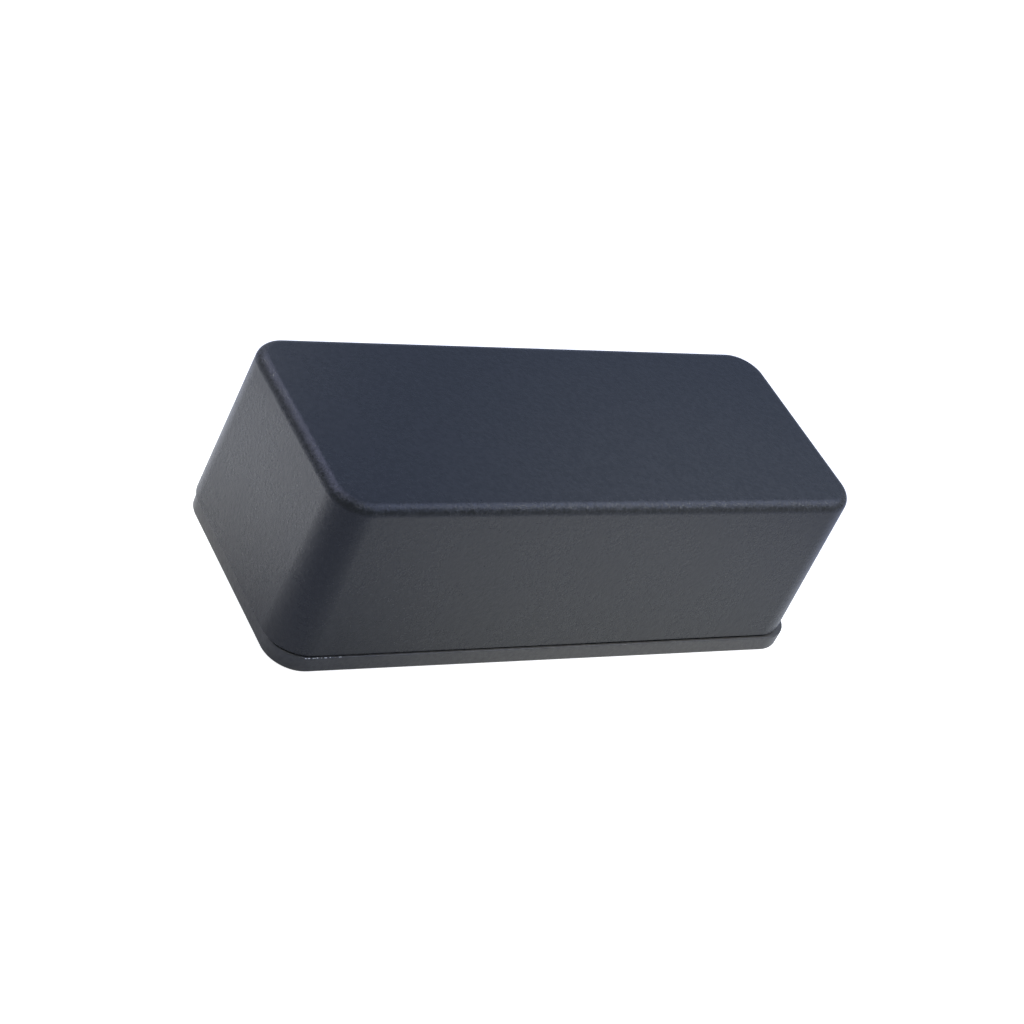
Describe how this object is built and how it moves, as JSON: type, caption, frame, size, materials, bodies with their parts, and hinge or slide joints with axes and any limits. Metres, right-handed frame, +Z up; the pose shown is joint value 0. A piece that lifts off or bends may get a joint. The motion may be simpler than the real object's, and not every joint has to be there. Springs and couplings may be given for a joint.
{
  "type": "plastic project box",
  "caption": "Small closed project box in black plastic with rounded corners, standing on its screwed-on lid, hollow inside for a circuit board.",
  "frame": {"origin": "middle of the closed case's outline, on the lid's outer face, which the box stands on", "axes": "+X along the length, +Y across the width, +Z up from the lid to the closed face"},
  "size_m": [0.0704, 0.029, 0.0229],
  "materials": {
    "abs_black": "black moulded plastic with a fine matt texture",
    "screw_steel": "dark plated steel"
  },
  "bodies": {
    "root": {"body_shell": "abs_black", "lid": "abs_black", "lid_screws": "screw_steel"}
  },
  "joints": []
}
